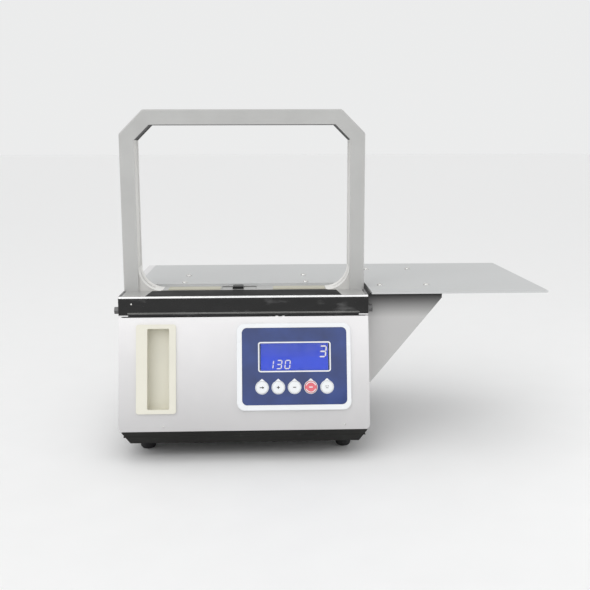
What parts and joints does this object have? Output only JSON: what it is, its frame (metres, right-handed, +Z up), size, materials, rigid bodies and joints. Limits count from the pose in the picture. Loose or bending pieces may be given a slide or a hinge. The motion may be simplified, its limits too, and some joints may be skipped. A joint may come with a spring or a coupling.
{
  "type": "tape banding machine",
  "caption": "Tabletop banding machine: a tape arch on a slant-fronted box with a hinged control door, a side table and a reel hatch at the back.",
  "frame": {"origin": "on the bench, at the middle of the four foot bolt holes", "axes": "+Z up, +X to the right towards the side table, +Y to the back"},
  "size_m": [0.443, 0.2844, 0.35],
  "materials": {
    "paint_white": "satin",
    "paint_silver": "satin",
    "paint_table": "satin",
    "paint_black": "satin",
    "rubber_black": "satin",
    "rail_polished": "polished",
    "deck_steel": "satin",
    "abs_cream": "satin",
    "liner_white": "satin",
    "liner_black": "satin",
    "abs_white": "satin",
    "key_red": "satin",
    "overlay_blue": "gloss",
    "window_clear": "gloss",
    "display_blue": "backlit",
    "zinc_steel": "zinc plated",
    "anvil_black": "blackened",
    "tool_steel": "ground",
    "block_alloy": "machined",
    "motor_grey": "plated",
    "roller_rubber": "satin",
    "board_green": "circuit board",
    "magnet_black": "sintered",
    "reel_plastic": "satin",
    "tape_paper": "paper tape",
    "iron_core": "varnished laminations",
    "copper_coil": "enamelled wire",
    "plastic_black": "satin"
  },
  "bodies": {
    "front_door": {"front_door": "paint_white", "door_pull": "abs_cream", "panel_bezel": "abs_white", "panel_overlay": "overlay_blue", "display_window": "window_clear", "display_module": "display_blue", "control_board": "board_green"},
    "hatch": {"rear_hatch": "paint_white"},
    "hatch_knob": {"hatch_knob": "zinc_steel"},
    "rocker": {"switch_rocker": "plastic_black"},
    "anvil": {"seal_anvil": "anvil_black"},
    "camshaft": {"camshaft": "tool_steel", "cam_gear": "tool_steel"},
    "pinion": {"main_pinion": "tool_steel"},
    "gripper_left": {"gripper_left": "tool_steel"},
    "press": {"press_and_cutter": "tool_steel"},
    "gripper_right": {"gripper_right": "tool_steel"},
    "feed_roller": {"feed_roller": "roller_rubber"},
    "pinch_roller": {"pinch_roller": "roller_rubber"},
    "reel": {"reel_hub": "reel_plastic", "reel_flange": "reel_plastic", "tape_roll": "tape_paper"},
    "key_feed": {"key_feed": "abs_white"},
    "key_longer": {"key_longer": "abs_white"},
    "key_shorter": {"key_shorter": "abs_white"},
    "key_reset": {"key_reset": "key_red"},
    "key_mode": {"key_mode": "abs_white"},
    "frame": {"side_panel_left": "paint_white", "side_panel_right": "paint_white", "top_cover": "paint_white", "rear_panel": "paint_white", "arch_frame": "paint_silver", "table_plate": "paint_table", "table_bracket": "paint_table", "base_tray": "paint_black", "feet": "rubber_black", "deck_rail": "rail_polished", "deck_plate": "deck_steel", "track_strips": "abs_cream", "leg_liners": "liner_white", "corner_guides": "liner_white", "top_liners": "liner_black", "deck_screws": "zinc_steel", "table_screws": "zinc_steel", "door_hinge_pins": "zinc_steel", "hatch_hinge": "zinc_steel", "tie_rods": "zinc_steel", "reel_shaft": "zinc_steel", "reel_bracket": "zinc_steel", "feed_plate": "zinc_steel", "mech_plates": "zinc_steel", "head_block": "block_alloy", "main_motor": "motor_grey", "feed_motor": "motor_grey", "power_board": "board_green", "door_magnet": "magnet_black", "transformer_core": "iron_core", "transformer_coil": "copper_coil", "power_inlet": "plastic_black", "switch_housing": "plastic_black"}
  },
  "joints": [
    {"name": "door_swing", "type": "hinge", "parent": "frame", "child": "front_door", "pos_m": [0.1228, -0.12978, 0.02915], "axis": [0, 0.2354, 0.9719], "range_deg": [0, 100]},
    {"name": "key_feed_press", "type": "slide", "parent": "front_door", "child": "key_feed", "axis": [0, 0.9719, -0.2354], "range_m": [0, 0.0008], "stiffness_N_per_m": 300, "springref_m": -0.0004},
    {"name": "key_longer_press", "type": "slide", "parent": "front_door", "child": "key_longer", "axis": [0, 0.9719, -0.2354], "range_m": [0, 0.0008], "stiffness_N_per_m": 300, "springref_m": -0.0004},
    {"name": "key_shorter_press", "type": "slide", "parent": "front_door", "child": "key_shorter", "axis": [0, 0.9719, -0.2354], "range_m": [0, 0.0008], "stiffness_N_per_m": 300, "springref_m": -0.0004},
    {"name": "key_reset_press", "type": "slide", "parent": "front_door", "child": "key_reset", "axis": [0, 0.9719, -0.2354], "range_m": [0, 0.0008], "stiffness_N_per_m": 300, "springref_m": -0.0004},
    {"name": "key_mode_press", "type": "slide", "parent": "front_door", "child": "key_mode", "axis": [0, 0.9719, -0.2354], "range_m": [0, 0.0008], "stiffness_N_per_m": 300, "springref_m": -0.0004},
    {"name": "hatch_swing", "type": "hinge", "parent": "frame", "child": "hatch", "pos_m": [-0.1194, 0.1402, 0.0904], "axis": [0, 0, 1], "range_deg": [0, 110]},
    {"name": "hatch_knob_turn", "type": "hinge", "parent": "hatch", "child": "hatch_knob", "pos_m": [-0.042, 0.139, 0.0904], "axis": [0, 1, 0], "range_deg": [0, 90]},
    {"name": "rocker_tilt", "type": "hinge", "parent": "frame", "child": "rocker", "pos_m": [0.085, 0.1335, 0.104], "axis": [0, 0, 1], "range_deg": [0, 12]},
    {"name": "anvil_slide", "type": "slide", "parent": "frame", "child": "anvil", "axis": [0, 1, 0], "range_m": [0, 0.008]},
    {"name": "cam_turn", "type": "hinge", "parent": "frame", "child": "camshaft", "pos_m": [-0.006, -0.0625, 0.104], "axis": [1, 0, 0], "range_deg": [0, 150]},
    {"name": "pinion_turn", "type": "hinge", "parent": "frame", "child": "pinion", "pos_m": [-0.006, -0.0325, 0.104], "axis": [1, 0, 0], "range_deg": [-450, 0]},
    {"name": "gripper_left_lift", "type": "slide", "parent": "frame", "child": "gripper_left", "axis": [0, 0, 1], "range_m": [0, 0.0045]},
    {"name": "press_lift", "type": "slide", "parent": "frame", "child": "press", "axis": [0, 0, 1], "range_m": [0, 0.0045]},
    {"name": "gripper_right_lift", "type": "slide", "parent": "frame", "child": "gripper_right", "axis": [0, 0, 1], "range_m": [0, 0.0045]},
    {"name": "feed_spin", "type": "hinge", "parent": "frame", "child": "feed_roller", "pos_m": [0.058, -0.0625, 0.112], "axis": [0, 1, 0], "continuous": true},
    {"name": "pinch_spin", "type": "hinge", "parent": "frame", "child": "pinch_roller", "pos_m": [0.0783, -0.0625, 0.112], "axis": [0, 1, 0], "continuous": true},
    {"name": "reel_spin", "type": "hinge", "parent": "frame", "child": "reel", "pos_m": [-0.072, 0.0617, 0.0908], "axis": [1, 0, 0], "continuous": true}
  ],
  "couplings": [
    {"joint": "pinion_turn", "follows": "cam_turn", "ratio": -3},
    {"joint": "gripper_left_lift", "follows": "cam_turn", "m_per_rad": 0.0017188},
    {"joint": "press_lift", "follows": "cam_turn", "m_per_rad": 0.0017188},
    {"joint": "gripper_right_lift", "follows": "cam_turn", "m_per_rad": 0.0017188},
    {"joint": "pinch_spin", "follows": "feed_spin", "ratio": -1.5}
  ]
}
